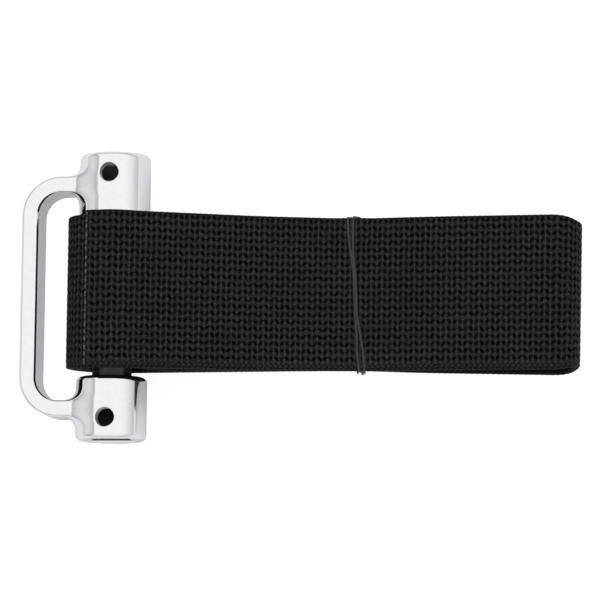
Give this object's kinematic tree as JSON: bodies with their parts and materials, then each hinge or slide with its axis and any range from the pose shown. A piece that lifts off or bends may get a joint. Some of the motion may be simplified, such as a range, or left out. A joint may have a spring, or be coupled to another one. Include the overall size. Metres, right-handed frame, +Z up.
{
  "type": "strap wrench",
  "caption": "Strap wrench with a chromed two-ended drive frame, a round pin and woven webbing sewn round the pin, rolled flat and tied.",
  "frame": {"origin": "middle of the underside of the whole object's bounding box, with the wrench lying on its rolled strap", "axes": "+X along the rolled strap away from the drive frame, +Y along the pin, +Z up through the roll's thickness"},
  "size_m": [0.1784, 0.0916, 0.0324],
  "materials": {
    "chrome_plate": "polished chrome plate over a smooth casting",
    "black_steel": "black oxide, satin",
    "webbing": "thick black woven webbing with ribs across its width",
    "thread": "black bonded sewing thread",
    "tie": "thin dark coated cord"
  },
  "bodies": {
    "strap_roll": {"strap": "webbing", "eye_stitch_row_1": "thread", "eye_stitch_row_2": "thread", "eye_stitch_row_3": "thread", "eye_stitch_row_4": "thread", "roll_tie": "tie"},
    "drive_frame": {"frame": "chrome_plate", "strap_pin": "black_steel"}
  },
  "joints": [
    {"name": "frame_swing", "type": "hinge", "parent": "strap_roll", "child": "drive_frame", "pos_m": [-0.06025, 0, 0.0148], "axis": [0, 1, 0], "range_deg": [-120, 130]}
  ]
}
